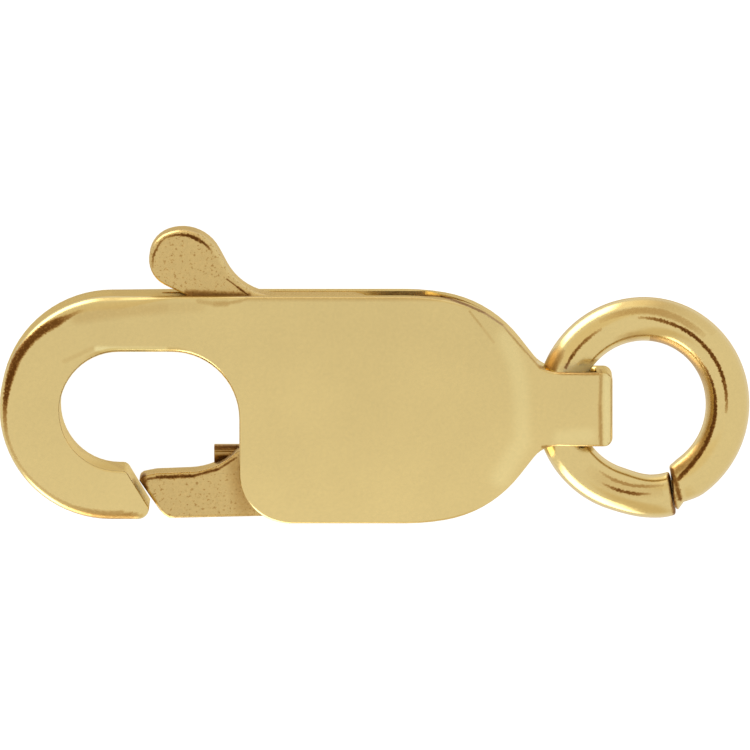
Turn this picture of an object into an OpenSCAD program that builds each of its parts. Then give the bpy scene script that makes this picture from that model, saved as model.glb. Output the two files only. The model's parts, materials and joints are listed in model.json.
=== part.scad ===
// Lobster clasp with jump ring, lying on its back plate.
// X runs from the hook to the jump ring, Z is up, and the front plate looks up.
// The origin is the middle of the object's footprint, on the surface it lies on.

/* [Case] */
// Length of the case from the hook to the end of the bail
case_l = 12.24; // [12.2:0.01:12.4]
// Height of the case across its two long edges
case_h = 4.54; // [4.5:0.01:4.6]
// Thickness of the case over both plates
case_t = 2.2; // [2.2:0.01:2.4]
// Thickness of each plate beside the slot
plate_t = 0.4; // [0.35:0.01:0.42]
// Distance from the hook's end to the slot
slot_x0 = 3.3; // [3.2:0.01:3.4]
// Distance from the hook's end to the taper that closes the slot
slot_x1 = 8.5; // [8.45:0.01:8.6]
// Distance from the hook's end to the point where the plates have met
slot_x2 = 9.8; // [9.7:0.01:9.9]

/* [Hook] */
// Outer radius of the hook
hook_r = 2.23; // [2.2:0.01:2.25]
// Radius of the eye inside the hook
eye_r = 1.184; // [1.15:0.002:1.2]
// Distance from the hook's end to the middle of the eye's round end
eye_x = 2.38; // [2.36:0.01:2.4]
// Radius of the eye where it turns down into the body
eye_turn_r = 1.35; // [1.3:0.01:1.38]
// Distance from the hook's end to the body's edge inside the eye
body_x0 = 4.786; // [4.76:0.002:4.8]
// Radius of the body's lower corner beside the mouth
body_corner_r = 1.0; // [0.9:0.01:1.1]
// Angle of the hook's tip face and of the jaw's nose below horizontal
tip_angle = 54.6; // [54:0.1:56]
// Gap between the hook's tip and the closed jaw
tip_gap = 0.075; // [0.06:0.005:0.1]

/* [Tail and bail] */
// Radius of the slow curve where the tail starts
tail_r1 = 4.6; // [4.5:0.05:4.7]
// Angle through which the slow curve turns
tail_a1 = 10; // [9:0.5:11]
// Radius of the tail's shoulder
tail_r2 = 2.36; // [2.32:0.01:2.4]
// Angle at which the shoulder meets the neck
tail_a2 = 49.5; // [49:0.5:51]
// Radius of the hollow between the shoulder and the bail
neck_r = 0.6; // [0.55:0.01:0.65]
// Width of the bail
bail_w = 1.47; // [1.44:0.01:1.5]
// Thickness of the bail over its loop
bail_t = 2.0; // [1.98:0.01:2.04]
// Height of the opening in the bail that the ring passes through
bail_hole_h = 1.4; // [1.39:0.01:1.41]
// Thickness of the bail's end wall
bail_end_t = 0.32; // [0.3:0.01:0.34]
// Thickness of the neck at its thinnest
neck_t = 1.6; // [1.55:0.01:1.7]

/* [Trigger] */
// Thickness of the trigger
trigger_t = 1.25; // [1.15:0.01:1.28]
// Radius of the thumb tab
tab_r = 0.7; // [0.68:0.01:0.72]
// Height of the thumb tab above the case's centre line
tab_top = 3.55; // [3.5:0.01:3.58]
// Radius of the hollow behind the thumb tab
tab_heel_r = 0.75; // [0.73:0.01:0.78]
// Distance from the hook's end to the pivot
pivot_x = 6.98; // [6.9:0.01:7.05]
// Height of the pivot above the case's centre line
pivot_y = 0.2; // [0.15:0.01:0.25]
// Radius of the pivot rivet
rivet_r = 0.35; // [0.3:0.01:0.4]
// Clearance round the rivet and beside the trigger's spring
clearance = 0.02; // [0.015:0.005:0.03]

/* [Jump ring] */
// Diameter of the ring's wire
wire_d = 0.86; // [0.8:0.01:0.87]
// Radius of the ring to the middle of its wire
ring_r = 1.74; // [1.72:0.01:1.78]
// Distance from the hook's end to the wire inside the bail
ring_x = 11.142; // [11.13:0.002:11.15]
// Distance of the ring below the case's centre line
ring_drop = 0.03; // [0:0.01:0.03]
// Angle of the ring's cut from the ring's outer end
cut_angle = -69; // [-80:1:-60]
// Width of the cut in the ring
cut_w = 0.07; // [0.05:0.01:0.12]

/* [Hidden] */
$fn = 96;
gold = "#d6c07f";
gold_deep = "#c3a765";
spring_brown = "#9a7440";

mid_z = case_t / 2;
half_h = case_h / 2;
half_bail = bail_w / 2;
slot_h = case_t - 2 * plate_t;
hook_y = half_h - hook_r;
eye_y = -0.026;
eye_turn = [body_x0 - eye_turn_r, eye_y + eye_r - eye_turn_r];
tip_r = 0.28;
tip_top_r = 0.15;
tip_face_h = 0.65;
tip_x = 2.985;
bail_corner_r = 0.16;
bail_bend_r = 0.24;
hole_corner_r = 0.3;
hole_end_r = 0.1;
hole_x0 = ring_x - wire_d / 2 - 0.05;
hole_x1 = case_l - bail_end_t;
neck_x0 = 9.9;
neck_x1 = 10.64;
neck_x2 = 11.15;

// The jaw and the spring's foot follow one hollow, round this centre.
jaw_hollow = [4.01, -0.1];
jaw_hollow_r = 1.2;
jaw_top_y = -1.3;
jaw_bottom_y = -2.18;
spring_x0 = 4.3;
spring_x1 = 5.65;
groove_x0 = 4.8;
spring_top = -0.812;
spring_leaf_h = 0.15;
spring_w = 0.42;

// The ring hangs down until its outer side meets the surface.
ring_tilt = asin((mid_z - wire_d / 2) / (2 * ring_r));
total_l = ring_x + 2 * ring_r * cos(ring_tilt) + wire_d / 2;
origin = [total_l / 2, (tab_top - half_h) / 2, 0];

// Points along an arc, one for about each 4 degrees.
function arc(centre, r, from, to) =
    let (steps = max(2, ceil(abs(to - from) / 4)))
    [for (i = [0:steps])
        let (a = from + (to - from) * i / steps)
        centre + r * [cos(a), sin(a)]];

// Points mirrored in the centre line, in the order that closes the outline.
function mirrored(points) =
    [for (i = [len(points) - 1:-1:0]) [points[i][0], -points[i][1]]];

// Points of a smooth step from one height to another.
function smooth_step(x0, z0, x1, z1) =
    [for (i = [0:8])
        let (t = i / 8)
        [x0 + (x1 - x0) * t, z0 + (z1 - z0) * (1 - cos(180 * t)) / 2]];

// The tail's edge is two curves that meet smoothly, a straight and a hollow.
shoulder_1 = [8.1, half_h - tail_r1];
shoulder_join = shoulder_1 + tail_r1 * [sin(tail_a1), cos(tail_a1)];
shoulder_2 = shoulder_join - tail_r2 * [sin(tail_a1), cos(tail_a1)];
shoulder_end = shoulder_2 + tail_r2 * [sin(tail_a2), cos(tail_a2)];
neck_y = half_bail + neck_r;
neck_x = shoulder_end[0] + (neck_r - cos(tail_a2) * (neck_y - shoulder_end[1])) / sin(tail_a2);

// Upper edge of the tail, from the long edge to the end of the bail.
tail_edge = concat(
    arc(shoulder_1, tail_r1, 90, 90 - tail_a1),
    arc(shoulder_2, tail_r2, 90 - tail_a1, 90 - tail_a2),
    arc([neck_x, neck_y], neck_r, 270 - tail_a2, 270),
    arc([case_l - bail_corner_r, half_bail - bail_corner_r], bail_corner_r, 90, 0));

// The tip's face runs down at tip_angle from the eye's lower edge.
eye_bottom = eye_y - eye_r;
tip_dir = [cos(tip_angle), -sin(tip_angle)];
tip_normal = [sin(tip_angle), cos(tip_angle)];
tip_foot = [tip_x, eye_bottom - tip_face_h];
tip_corner = [tip_foot[0] - (eye_bottom - tip_foot[1]) / tan(tip_angle), eye_bottom];
tip_top = tip_corner - [tip_top_r * tan(tip_angle / 2), tip_top_r];

case_edge = concat(
    tail_edge,
    mirrored(tail_edge),
    arc([body_x0 + body_corner_r, body_corner_r - half_h], body_corner_r, -90, -180),
    arc(eye_turn, eye_turn_r, 0, 90),
    arc([eye_x, eye_y], eye_r, 90, 270),
    arc(tip_top, tip_top_r, 90, 90 - tip_angle),
    arc([tip_x - tip_r, hook_y - hook_r + tip_r], tip_r, 0, -90),
    arc([hook_r, hook_y], hook_r, -90, -270));

// Side view of the sheet: the outer skin, the slot and the bail's opening.
skin_top = concat(
    [[-1, case_t / 2]],
    smooth_step(neck_x0, case_t / 2, neck_x1, neck_t / 2),
    smooth_step(neck_x1, neck_t / 2, neck_x2, bail_t / 2),
    arc([case_l - bail_bend_r, bail_t / 2 - bail_bend_r], bail_bend_r, 90, 0));

slot_top = concat(
    [[slot_x0, slot_h / 2]],
    [for (i = [0:8])
        let (t = i / 8)
        [slot_x1 + (slot_x2 - slot_x1) * t, slot_h / 2 * pow(1 - t, 2)]]);

hole_top = concat(
    arc([hole_x0 + hole_corner_r, bail_hole_h / 2 - hole_corner_r], hole_corner_r, 180, 90),
    arc([hole_x1 - hole_end_r, bail_hole_h / 2 - hole_end_r], hole_end_r, 90, 0));

// The thumb tab, its heel and the lever's top edge.
tab = [2.995 + tab_r, tab_top - tab_r];
tab_toe_r = 0.49;
tab_toe = [tab[0] - tab_r + tab_toe_r, tab[1] + 0.09];
tab_toe_slope = 27.7;
tab_side = 9;
lever_top = half_h - clearance;
heel = [5.31, lever_top + tab_heel_r];
heel_gap = heel - tab;
heel_angle = atan2(heel_gap[1], heel_gap[0]) + acos((tab_r + tab_heel_r) / norm(heel_gap));
lever_back_r = 0.85;
lever_hollow_r = 1.7;

lever_toe = [3.86, 2.2];
lever_belly = [6.6, -1.6];
lever_heel_r = 0.75;
lever_heel = [pivot_x + lever_back_r - lever_heel_r, -0.35];

// The jaw's nose lies beside the tip's face, and its face runs down to the chin.
nose = tip_foot - 0.45 * tip_dir + tip_gap * tip_normal;
nose_round = [0.16, -0.03];
nose_edge = [0.02, 0.05];
chin = nose + (jaw_bottom_y - nose[1]) / tip_dir[1] * tip_dir;
chin_round = 0.12;

lever_edge = concat(
    arc(tab, tab_r, heel_angle, 180 - tab_side),
    arc(tab_toe, tab_toe_r, 180 + tab_side, 270 - tab_toe_slope),
    [lever_toe],
    arc(eye_turn, lever_hollow_r, 75, -20),
    [[5.05, -0.9]],
    arc(jaw_hollow, jaw_hollow_r, -45, -88),
    [[nose[0], jaw_top_y] + nose_round],
    [nose + nose_edge],
    [nose],
    [chin - chin_round * tip_dir],
    [chin + [chin_round, 0]],
    [[body_x0 + 0.5, jaw_bottom_y + 0.04]],
    [lever_belly],
    arc(lever_heel, lever_heel_r, -90, 0),
    arc([pivot_x, lever_top - lever_back_r], lever_back_r, 0, 90),
    arc(heel, tab_heel_r, 270, 180 + heel_angle));

// Everything is built from the hook's end and the centre line, then set on the origin.
module placed() {
    translate(-origin) children();
}

// A side view drawn in X and Z, as wide as the case.
module side_view(points) {
    translate([0, case_h, mid_z])
        rotate([90, 0, 0])
            linear_extrude(2 * case_h)
                polygon(points);
}

module case() {
    color(gold)
        placed()
            difference() {
                intersection() {
                    linear_extrude(case_t) polygon(case_edge);
                    side_view(concat(skin_top, mirrored(skin_top)));
                }
                side_view(concat(slot_top, mirrored(slot_top)));
                side_view(concat(hole_top, mirrored(hole_top)));
                translate([pivot_x, pivot_y, plate_t / 2 - clearance])
                    cylinder(r = rivet_r + clearance, h = case_t - plate_t + 2 * clearance);
            }
}

module trigger() {
    color(gold_deep)
        placed()
            difference() {
                translate([0, 0, mid_z - trigger_t / 2])
                    linear_extrude(trigger_t) polygon(lever_edge);
                translate([pivot_x, pivot_y, 0])
                    cylinder(r = rivet_r + 1.5 * clearance, h = case_t);
                spring_groove();
            }
}

// The leaf lies in this groove in the trigger's back.
module spring_groove() {
    translate([groove_x0, spring_top - spring_leaf_h - clearance, 0])
        cube([spring_x1 - groove_x0 + clearance, spring_leaf_h + 2 * clearance,
              mid_z - trigger_t / 2 + spring_w + 2 * clearance]);
}

module rivet() {
    color(gold_deep)
        placed()
            translate([pivot_x, pivot_y, plate_t / 2])
                cylinder(r = rivet_r, h = case_t - plate_t);
}

// A flat leaf whose foot follows the top of the jaw.
module spring() {
    color(spring_brown)
        placed()
            translate([0, 0, mid_z - trigger_t / 2 + clearance])
                linear_extrude(spring_w)
                    polygon(concat(
                        [[spring_x0, spring_top]],
                        arc(jaw_hollow, jaw_hollow_r - clearance, -76, -47),
                        [[spring_x1, spring_top - spring_leaf_h]],
                        [[spring_x1, spring_top]]));
}

module jump_ring() {
    cut_turn = cut_w / ring_r * 180 / PI;
    color(gold)
        placed()
            translate([ring_x, -ring_drop, mid_z])
                rotate([0, ring_tilt, 0])
                    translate([ring_r, 0, 0])
                        rotate([0, 0, cut_angle + cut_turn / 2])
                            rotate_extrude(angle = 360 - cut_turn)
                                translate([ring_r, 0]) circle(d = wire_d);
}

case();
trigger();
rivet();
spring();
jump_ring();
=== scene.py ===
import json
import math

import bmesh
import bpy
from mathutils import Matrix, Vector


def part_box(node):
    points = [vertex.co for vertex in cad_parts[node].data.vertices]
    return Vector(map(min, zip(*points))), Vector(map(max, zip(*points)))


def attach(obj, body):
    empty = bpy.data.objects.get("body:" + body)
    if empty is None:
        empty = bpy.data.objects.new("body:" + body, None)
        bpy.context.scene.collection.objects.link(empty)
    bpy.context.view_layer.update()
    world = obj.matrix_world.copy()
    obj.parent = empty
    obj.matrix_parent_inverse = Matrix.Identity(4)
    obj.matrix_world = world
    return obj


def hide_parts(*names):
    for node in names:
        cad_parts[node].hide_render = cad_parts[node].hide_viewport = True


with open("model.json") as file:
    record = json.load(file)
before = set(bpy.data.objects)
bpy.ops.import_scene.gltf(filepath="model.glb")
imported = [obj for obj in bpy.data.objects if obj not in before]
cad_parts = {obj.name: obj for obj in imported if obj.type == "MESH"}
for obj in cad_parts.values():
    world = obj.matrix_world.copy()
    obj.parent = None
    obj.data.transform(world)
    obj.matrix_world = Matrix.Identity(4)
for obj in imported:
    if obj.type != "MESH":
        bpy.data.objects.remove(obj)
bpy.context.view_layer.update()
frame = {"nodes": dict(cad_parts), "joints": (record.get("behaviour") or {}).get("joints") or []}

bl_info = {
    "name": "Lobster clasp with jump ring",
    "version": (1, 0, 0),
    "blender": (4, 5, 0),
    "location": "3D View > Sidebar > Clasp",
    "description": "Dresses the packed clasp in worn yellow gold and sets it on a pale table",
    "category": "Object",
}

# Pieces are drawn in millimetres from the hook's end and the case's centre line.
MM = 0.001
SAME = 1e-4
# How far the flat chords of an arc may stand inside it, and the widest turn of one, in degrees
ARC_SAG = 0.002
ARC_STEP = 15
# A direction counts as along Z from here: for the normal of a flat face, and for an upright edge
FLAT = 0.9999
UPRIGHT = 0.9
CASE_LOW, CASE_HIGH = (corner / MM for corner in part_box("case"))
TRIGGER_LOW, TRIGGER_HIGH = (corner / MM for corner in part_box("trigger"))
SPRING_LOW, SPRING_HIGH = (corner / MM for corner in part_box("spring"))
RING_LOW, RING_HIGH = (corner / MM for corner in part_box("jump_ring"))
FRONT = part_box("case")[1].z
VIEW_TILT = math.radians(4.56)
DATUM = Vector((CASE_LOW.x, (CASE_LOW.y + CASE_HIGH.y) / 2, 0))
PIVOT = {joint["name"]: Vector(joint["pos_m"]) / MM - DATUM for joint in frame["joints"]}


def size(name, text, default):
    """A length in metres whose default is given in millimetres."""
    return bpy.props.FloatProperty(
        name=name, description=text, default=default * MM, unit="LENGTH", precision=6)


def angle(name, text, default):
    """An angle whose default is given in degrees."""
    return bpy.props.FloatProperty(
        name=name, description=text, default=math.radians(default), subtype="ANGLE", unit="ROTATION")


def tint(name, text, default):
    return bpy.props.FloatVectorProperty(
        name=name, description=text, default=default, subtype="COLOR", size=3, min=0, max=1)


class ClaspCaseSizes(bpy.types.PropertyGroup):
    length: size("Length", "From the hook's end to the end of the bail", CASE_HIGH.x - CASE_LOW.x)
    height: size("Height", "Across the two long edges", CASE_HIGH.y - CASE_LOW.y)
    thickness: size("Thickness", "Over both plates", CASE_HIGH.z - CASE_LOW.z)
    plate: size("Plate", "Thickness of each plate beside the slot", 0.4)
    hook_radius: size("Hook radius", "Outer radius of the hook", 2.23)
    eye_radius: size("Eye radius", "Radius of the eye's round end", 1.184)
    bail_width: size("Bail width", "Width of the bail", 1.47)
    rim_radius: size("Rim radius", "Rounding of the plates' long edges", 0.05)
    hook_rim_radius: size("Hook rim radius", "Rounding of the hook's upper outer edge", 0.34)


class ClaspTriggerSizes(bpy.types.PropertyGroup):
    tab_radius: size("Tab radius", "Radius of the thumb tab", 0.835)
    tab_rim: size("Tab rim", "Rounding of the thumb tab's edge", 0.1)
    jaw_rim: size("Jaw rim", "Rounding of the jaw's edges", 0.075)


class ClaspRingSizes(bpy.types.PropertyGroup):
    wire: size("Wire", "Diameter of the ring's wire", RING_HIGH.y - RING_LOW.y - 2 * 1.74 + 0.02)
    radius: size("Radius", "Radius of the ring to the middle of its wire", 1.74)
    cut_at: angle("Cut", "Place of the cut, from the ring's outer end", -69.4)
    cut_gap: size("Cut gap", "Width of the cut", 0.09)


class ClaspFinish(bpy.types.PropertyGroup):
    gold: tint("Gold", "The polished gold", (0.69, 0.535, 0.226))
    trigger_gold: tint("Trigger gold", "The duller gold of the trigger", (0.61, 0.44, 0.175))
    # The spring's darker, browner gold is painted shade for its place in the gap between the plates
    spring: tint("Spring", "The spring's brown metal", (0.48, 0.32, 0.12))
    table: tint("Table", "The pale table", (0.2, 0.2, 0.2))


def mm(value):
    return value / MM


def polar(radius, degrees):
    return Vector((radius * math.cos(math.radians(degrees)), radius * math.sin(math.radians(degrees))))


def object_mode():
    if bpy.context.object and bpy.context.object.mode != "OBJECT":
        bpy.ops.object.mode_set(mode="OBJECT")


def only(*pieces):
    """Leaves just these selected, the first of them active."""
    object_mode()
    bpy.ops.object.select_all(action="DESELECT")
    for piece in pieces:
        piece.select_set(True)
    if pieces:
        bpy.context.view_layer.objects.active = pieces[0]


def edit(piece, kind="VERT"):
    only(piece)
    bpy.ops.object.mode_set(mode="EDIT")
    bpy.ops.mesh.select_mode(type=kind)
    bpy.ops.mesh.select_all(action="DESELECT")


def select_all():
    bpy.ops.mesh.select_all(action="SELECT")


def merge_points(nearer=SAME):
    select_all()
    bpy.ops.mesh.remove_doubles(threshold=nearer)


def face_out():
    select_all()
    bpy.ops.mesh.normals_make_consistent(inside=False)


def settle(piece):
    """Takes a piece's place, turn and size into its mesh."""
    only(piece)
    bpy.ops.object.transform_apply(location=True, rotation=True, scale=True)


def pick(piece, kind, wanted):
    """Enters edit mode with those vertices, edges or faces selected for which wanted is true."""
    edit(piece, kind)
    mesh = bmesh.from_edit_mesh(piece.data)
    for item in {"VERT": mesh.verts, "EDGE": mesh.edges, "FACE": mesh.faces}[kind]:
        item.select_set(bool(wanted(item)))
    mesh.select_flush_mode()
    bmesh.update_edit_mesh(piece.data)


class Pen:
    """Draws the edge of a flat piece by extruding and spinning its last point."""

    def __init__(self, name, start):
        only()
        bpy.ops.mesh.primitive_plane_add(size=1, location=(0, 0, 0))
        self.piece = bpy.context.object
        self.piece.name = self.piece.data.name = name
        bpy.ops.object.mode_set(mode="EDIT")
        bpy.ops.mesh.merge(type="CENTER")
        self.at = Vector(start)
        bpy.ops.transform.translate(value=(*self.at, 0))

    def to(self, *points):
        for point in points:
            step = Vector(point) - self.at
            if step.length > SAME:
                bpy.ops.mesh.extrude_vertices_move(TRANSFORM_OT_translate={"value": (*step, 0)})
            self.at = Vector(point)
        return self

    def run(self, point, steps):
        """Goes straight to a point in short steps, where the rounding of the edge changes on the way."""
        start = self.at.copy()
        return self.to(*(start.lerp(Vector(point), i / steps) for i in range(1, steps + 1)))

    def turn(self, centre, degrees):
        """Turns round the centre, counter-clockwise for positive degrees."""
        spoke = self.at - Vector(centre)
        step = 2 * math.degrees(math.acos(1 - ARC_SAG / spoke.length))
        steps = math.ceil(abs(degrees) / min(step, ARC_STEP))
        bpy.ops.mesh.spin(steps=steps, angle=math.radians(-degrees), center=(*centre, 0), axis=(0, 0, 1))
        self.at = Vector(centre) + Matrix.Rotation(math.radians(degrees), 2) @ spoke
        return self

    def close(self):
        merge_points()
        select_all()
        bpy.ops.mesh.edge_face_add()
        object_mode()
        return self.piece


def thicken(piece, low, high):
    """Makes a drawn outline a solid between two heights."""
    edit(piece)
    select_all()
    bpy.ops.transform.translate(value=(0, 0, low))
    bpy.ops.mesh.extrude_region_move(TRANSFORM_OT_translate={"value": (0, 0, high - low)})
    face_out()
    object_mode()
    return piece


def stand_up(piece):
    """Turns a piece drawn flat so that its drawing shows from the side."""
    piece.rotation_euler = (math.pi / 2, 0, 0)
    settle(piece)


def modify(piece, kind, **settings):
    """Adds a modifier with its settings and applies it."""
    only(piece)
    bpy.ops.object.modifier_add(type=kind)
    modifier = piece.modifiers[-1]
    for name, value in settings.items():
        setattr(modifier, name, value)
    bpy.ops.object.modifier_apply(modifier=modifier.name)


def cut(piece, cutter, operation="DIFFERENCE"):
    modify(piece, "BOOLEAN", operation=operation, solver="EXACT", object=cutter)
    bpy.data.objects.remove(cutter)


def tidy_faces(piece, shortest=0.012):
    """Merges points that the cuts left close together, and the parts of each flat plate face."""
    edit(piece)
    select_all()
    # The cuts leave points in any order, and a merge keeps the first of those it joins
    bpy.ops.mesh.sort_elements(type="CURSOR_DISTANCE")
    merge_points(shortest)
    pick(piece, "FACE", lambda face: abs(face.normal.z) > FLAT)
    bpy.ops.mesh.dissolve_faces()
    object_mode()


def ease_radii(mesh, radii, slope=0.3, share=0.8):
    """Lowers the radii where they change too fast along a chain of edges for the round to follow.

    Where the chain turns, two strips of unlike width meet far along the edge, so the change
    that a vertex bears is as small as its turn.
    """
    changed = [edge for edge in mesh.edges if radii[edge.index] > 0]
    while changed:
        again = set()
        for edge in changed:
            for vertex in edge.verts:
                for other in vertex.link_edges:
                    if other is edge or radii[other.index] == 0:
                        continue
                    ends = [e.other_vert(vertex).co - vertex.co for e in (edge, other)]
                    turn = math.pi - ends[0].angle(ends[1])
                    lengths = [end.length for end in ends]
                    if turn < 0.01:
                        room = slope * sum(lengths) / 2
                    else:
                        room = share * min(lengths) * math.sin(turn)
                    most = radii[edge.index] + max(room, SAME)
                    if radii[other.index] > most + SAME / 10:
                        radii[other.index] = most
                        again.add(other)
        changed = again


def round_edges(piece, radius_at, sharp=25, segments=6):
    """Rounds each sharp edge by the radius that radius_at gives for its middle and its direction."""
    mesh = bmesh.new()
    mesh.from_mesh(piece.data)
    mesh.edges.index_update()
    radii = []
    for edge in mesh.edges:
        start, end = (v.co for v in edge.verts)
        is_sharp = len(edge.link_faces) == 2 and edge.calc_face_angle() > math.radians(sharp)
        radii.append(radius_at((start + end) / 2, (end - start).normalized()) if is_sharp else 0)
    ease_radii(mesh, radii)
    mesh.free()
    widest = max(radii)
    weight = piece.data.attributes.new("bevel_weight_edge", "FLOAT", "EDGE")
    weight.data.foreach_set("value", [radius / widest for radius in radii])
    modify(piece, "BEVEL", limit_method="WEIGHT", width=widest, segments=segments,
           use_clamp_overlap=False, miter_outer="MITER_SHARP")


def finish_piece(piece, body, nodes, material, smooth_angle=40):
    """Sets a piece that was drawn in millimetres in its place, in metres, and gives it its finish."""
    edit(piece)
    face_out()
    bpy.ops.transform.translate(value=DATUM)
    bpy.ops.transform.resize(value=(MM, MM, MM), center_override=(0, 0, 0))
    settle(piece)
    bpy.ops.object.shade_smooth_by_angle(angle=math.radians(smooth_angle))
    # Keeps the shading of the rounds off the flat faces beside them
    modify(piece, "WEIGHTED_NORMAL", keep_sharp=True)
    piece.data.materials.clear()
    piece.data.materials.append(material)
    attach(piece, body)
    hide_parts(*nodes)


def fade(value, start, end):
    """0 at start, 1 at end, and a smooth run between them."""
    share = min(1, max(0, (value - start) / (end - start)))
    return share * share * (3 - 2 * share)


# The shapes of the case
TAIL_SLOW_X = 8.1
TAIL_SLOW_RADIUS = 4.6
TAIL_SLOW_TURN = 10
SHOULDER_RADIUS = 2.46
SHOULDER_END = 51.5
NECK_RADIUS = 0.6
BAIL_CORNER = 0.16
BODY_EDGE = 4.786
BODY_CORNER = 1
EYE = Vector((2.38, -0.026))
EYE_TURN_RADIUS = 1.35
TIP_ANGLE = 54.6
TIP_X = 2.985
TIP_CORNER = 0.23
TIP_TOP = 0.15
TIP_FACE = 0.65
# Where the wide rounding of the hook's upper edge has run out
RIM_RUN = 3.5


def tail_points(half_height, half_bail):
    """The centres and joins of the tail's upper edge."""
    slow = Vector((TAIL_SLOW_X, half_height - TAIL_SLOW_RADIUS))
    join = slow + polar(TAIL_SLOW_RADIUS, 90 - TAIL_SLOW_TURN)
    shoulder = join - polar(SHOULDER_RADIUS, 90 - TAIL_SLOW_TURN)
    end = shoulder + polar(SHOULDER_RADIUS, 90 - SHOULDER_END)
    neck_y = half_bail + NECK_RADIUS
    slope = math.radians(SHOULDER_END)
    neck_x = end.x + (NECK_RADIUS - math.cos(slope) * (neck_y - end.y)) / math.sin(slope)
    return slow, shoulder, Vector((neck_x, neck_y))


def tip_corner(eye_radius):
    """The centre of the tip's upper corner."""
    slope = math.radians(TIP_ANGLE)
    corner_x = TIP_X - TIP_FACE / math.tan(slope)
    return Vector((corner_x - TIP_TOP * math.tan(slope / 2), EYE.y - eye_radius - TIP_TOP))


def draw_case(sizes):
    half, bail = mm(sizes.height) / 2, mm(sizes.bail_width) / 2
    length, hook, eye = mm(sizes.length), mm(sizes.hook_radius), mm(sizes.eye_radius)
    slow, shoulder, neck = tail_points(half, bail)
    tip_top = tip_corner(eye)
    hook_centre = Vector((hook, half - hook))
    end = length - BAIL_CORNER
    eye_turn = Vector((BODY_EDGE - EYE_TURN_RADIUS, EYE.y + eye - EYE_TURN_RADIUS))
    shoulder_turn = SHOULDER_END - TAIL_SLOW_TURN
    pen = Pen("case_shell", hook_centre + polar(hook, 90))
    pen.run((RIM_RUN, half), steps=10)
    pen.to((slow.x, half)).turn(slow, -TAIL_SLOW_TURN).turn(shoulder, -shoulder_turn)
    pen.to(neck + polar(NECK_RADIUS, 270 - SHOULDER_END)).turn(neck, SHOULDER_END)
    pen.to((end, bail)).turn((end, bail - BAIL_CORNER), -90)
    pen.to((length, BAIL_CORNER - bail)).turn((end, BAIL_CORNER - bail), -90)
    low_neck, low_shoulder, low_slow = ((point.x, -point.y) for point in (neck, shoulder, slow))
    pen.to((neck.x, -bail)).turn(low_neck, SHOULDER_END)
    pen.to(Vector(low_shoulder) + polar(SHOULDER_RADIUS, SHOULDER_END - 90))
    pen.turn(low_shoulder, -shoulder_turn).turn(low_slow, -TAIL_SLOW_TURN)
    pen.to((BODY_EDGE + BODY_CORNER, -half)).turn((BODY_EDGE + BODY_CORNER, BODY_CORNER - half), -90)
    pen.to((BODY_EDGE, eye_turn.y)).turn(eye_turn, 90)
    pen.to((EYE.x, EYE.y + eye)).turn(EYE, 180)
    pen.to((tip_top.x, EYE.y - eye)).turn(tip_top, -TIP_ANGLE)
    chin = Vector((TIP_X - TIP_CORNER, hook_centre.y - hook + TIP_CORNER))
    pen.to((TIP_X, chin.y)).turn(chin, -90)
    pen.run((hook, hook_centre.y - hook), steps=5).turn(hook_centre, -180)
    return pen.close()


# Where the plates draw together behind the slot: the start on the centre line, how much sooner
# it comes for each square millimetre off that line, and the end
DIP_START = 10.05
DIP_BOW = 0.16
DIP_END = 10.64
NECK_HALF = 0.8
BAIL_RISE = 11.85
BAIL_HALF = 1
BAIL_BEND = 0.24
# How many cuts the draw-in, the rise after it and half the width get
DIP_CUTS = 18
RISE_CUTS = 8
ROW_CUTS = 7
# How far from the mid height the plates' skins start to move, and over what height they start
PRESS_FROM = 0.76
PRESS_RAMP = 0.1
# Where the solid that trims the case begins, before the hook
SKIN_START = -1
SLOT_START, SLOT_TAPER, SLOT_END = 3.24, 8.5, 9.8
TAPER_STEPS = 8
TAPER_POWER = 1.8
# How the slot opens from a slit at its front end: the distance from there and the share of its height
SLIT = ((0, 0.1), (0.12, 0.22), (0.36, 0.28), (0.5, 0.6), (0.62, 1))
# The bail's hole: its two ends and half its height
HOLE = (10.695, 11.92, 0.7)
HOLE_CORNER = 0.55
HOLE_END_CORNER = 0.1


def draw_skin(sizes):
    """The side view of the case with its bent end, as a solid that the case is trimmed to."""
    half, length = mm(sizes.thickness) / 2, mm(sizes.length)
    bend = length - BAIL_BEND
    pen = Pen("skin", (SKIN_START, half)).to((bend, half)).turn((bend, half - BAIL_BEND), -90)
    pen.to((length, BAIL_BEND - half)).turn((bend, BAIL_BEND - half), -90).to((SKIN_START, -half))
    return side_solid(pen.close(), sizes)


def slot_half(sizes):
    """Half the slot's height."""
    return mm(sizes.thickness) / 2 - mm(sizes.plate)


def plate_half(x, y, mid):
    """Half the height over both plates at a place, with mid where they aren't drawn together."""
    start = DIP_START - DIP_BOW * y * y
    if x < DIP_END:
        return mid - (mid - NECK_HALF) * ease_wave((x - start) / (DIP_END - start))
    return NECK_HALF + (BAIL_HALF - NECK_HALF) * ease_wave((x - DIP_END) / (BAIL_RISE - DIP_END))


def ease_wave(share):
    """Half a wave from 0 to 1."""
    return (1 - math.cos(math.pi * min(1, max(0, share)))) / 2


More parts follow.
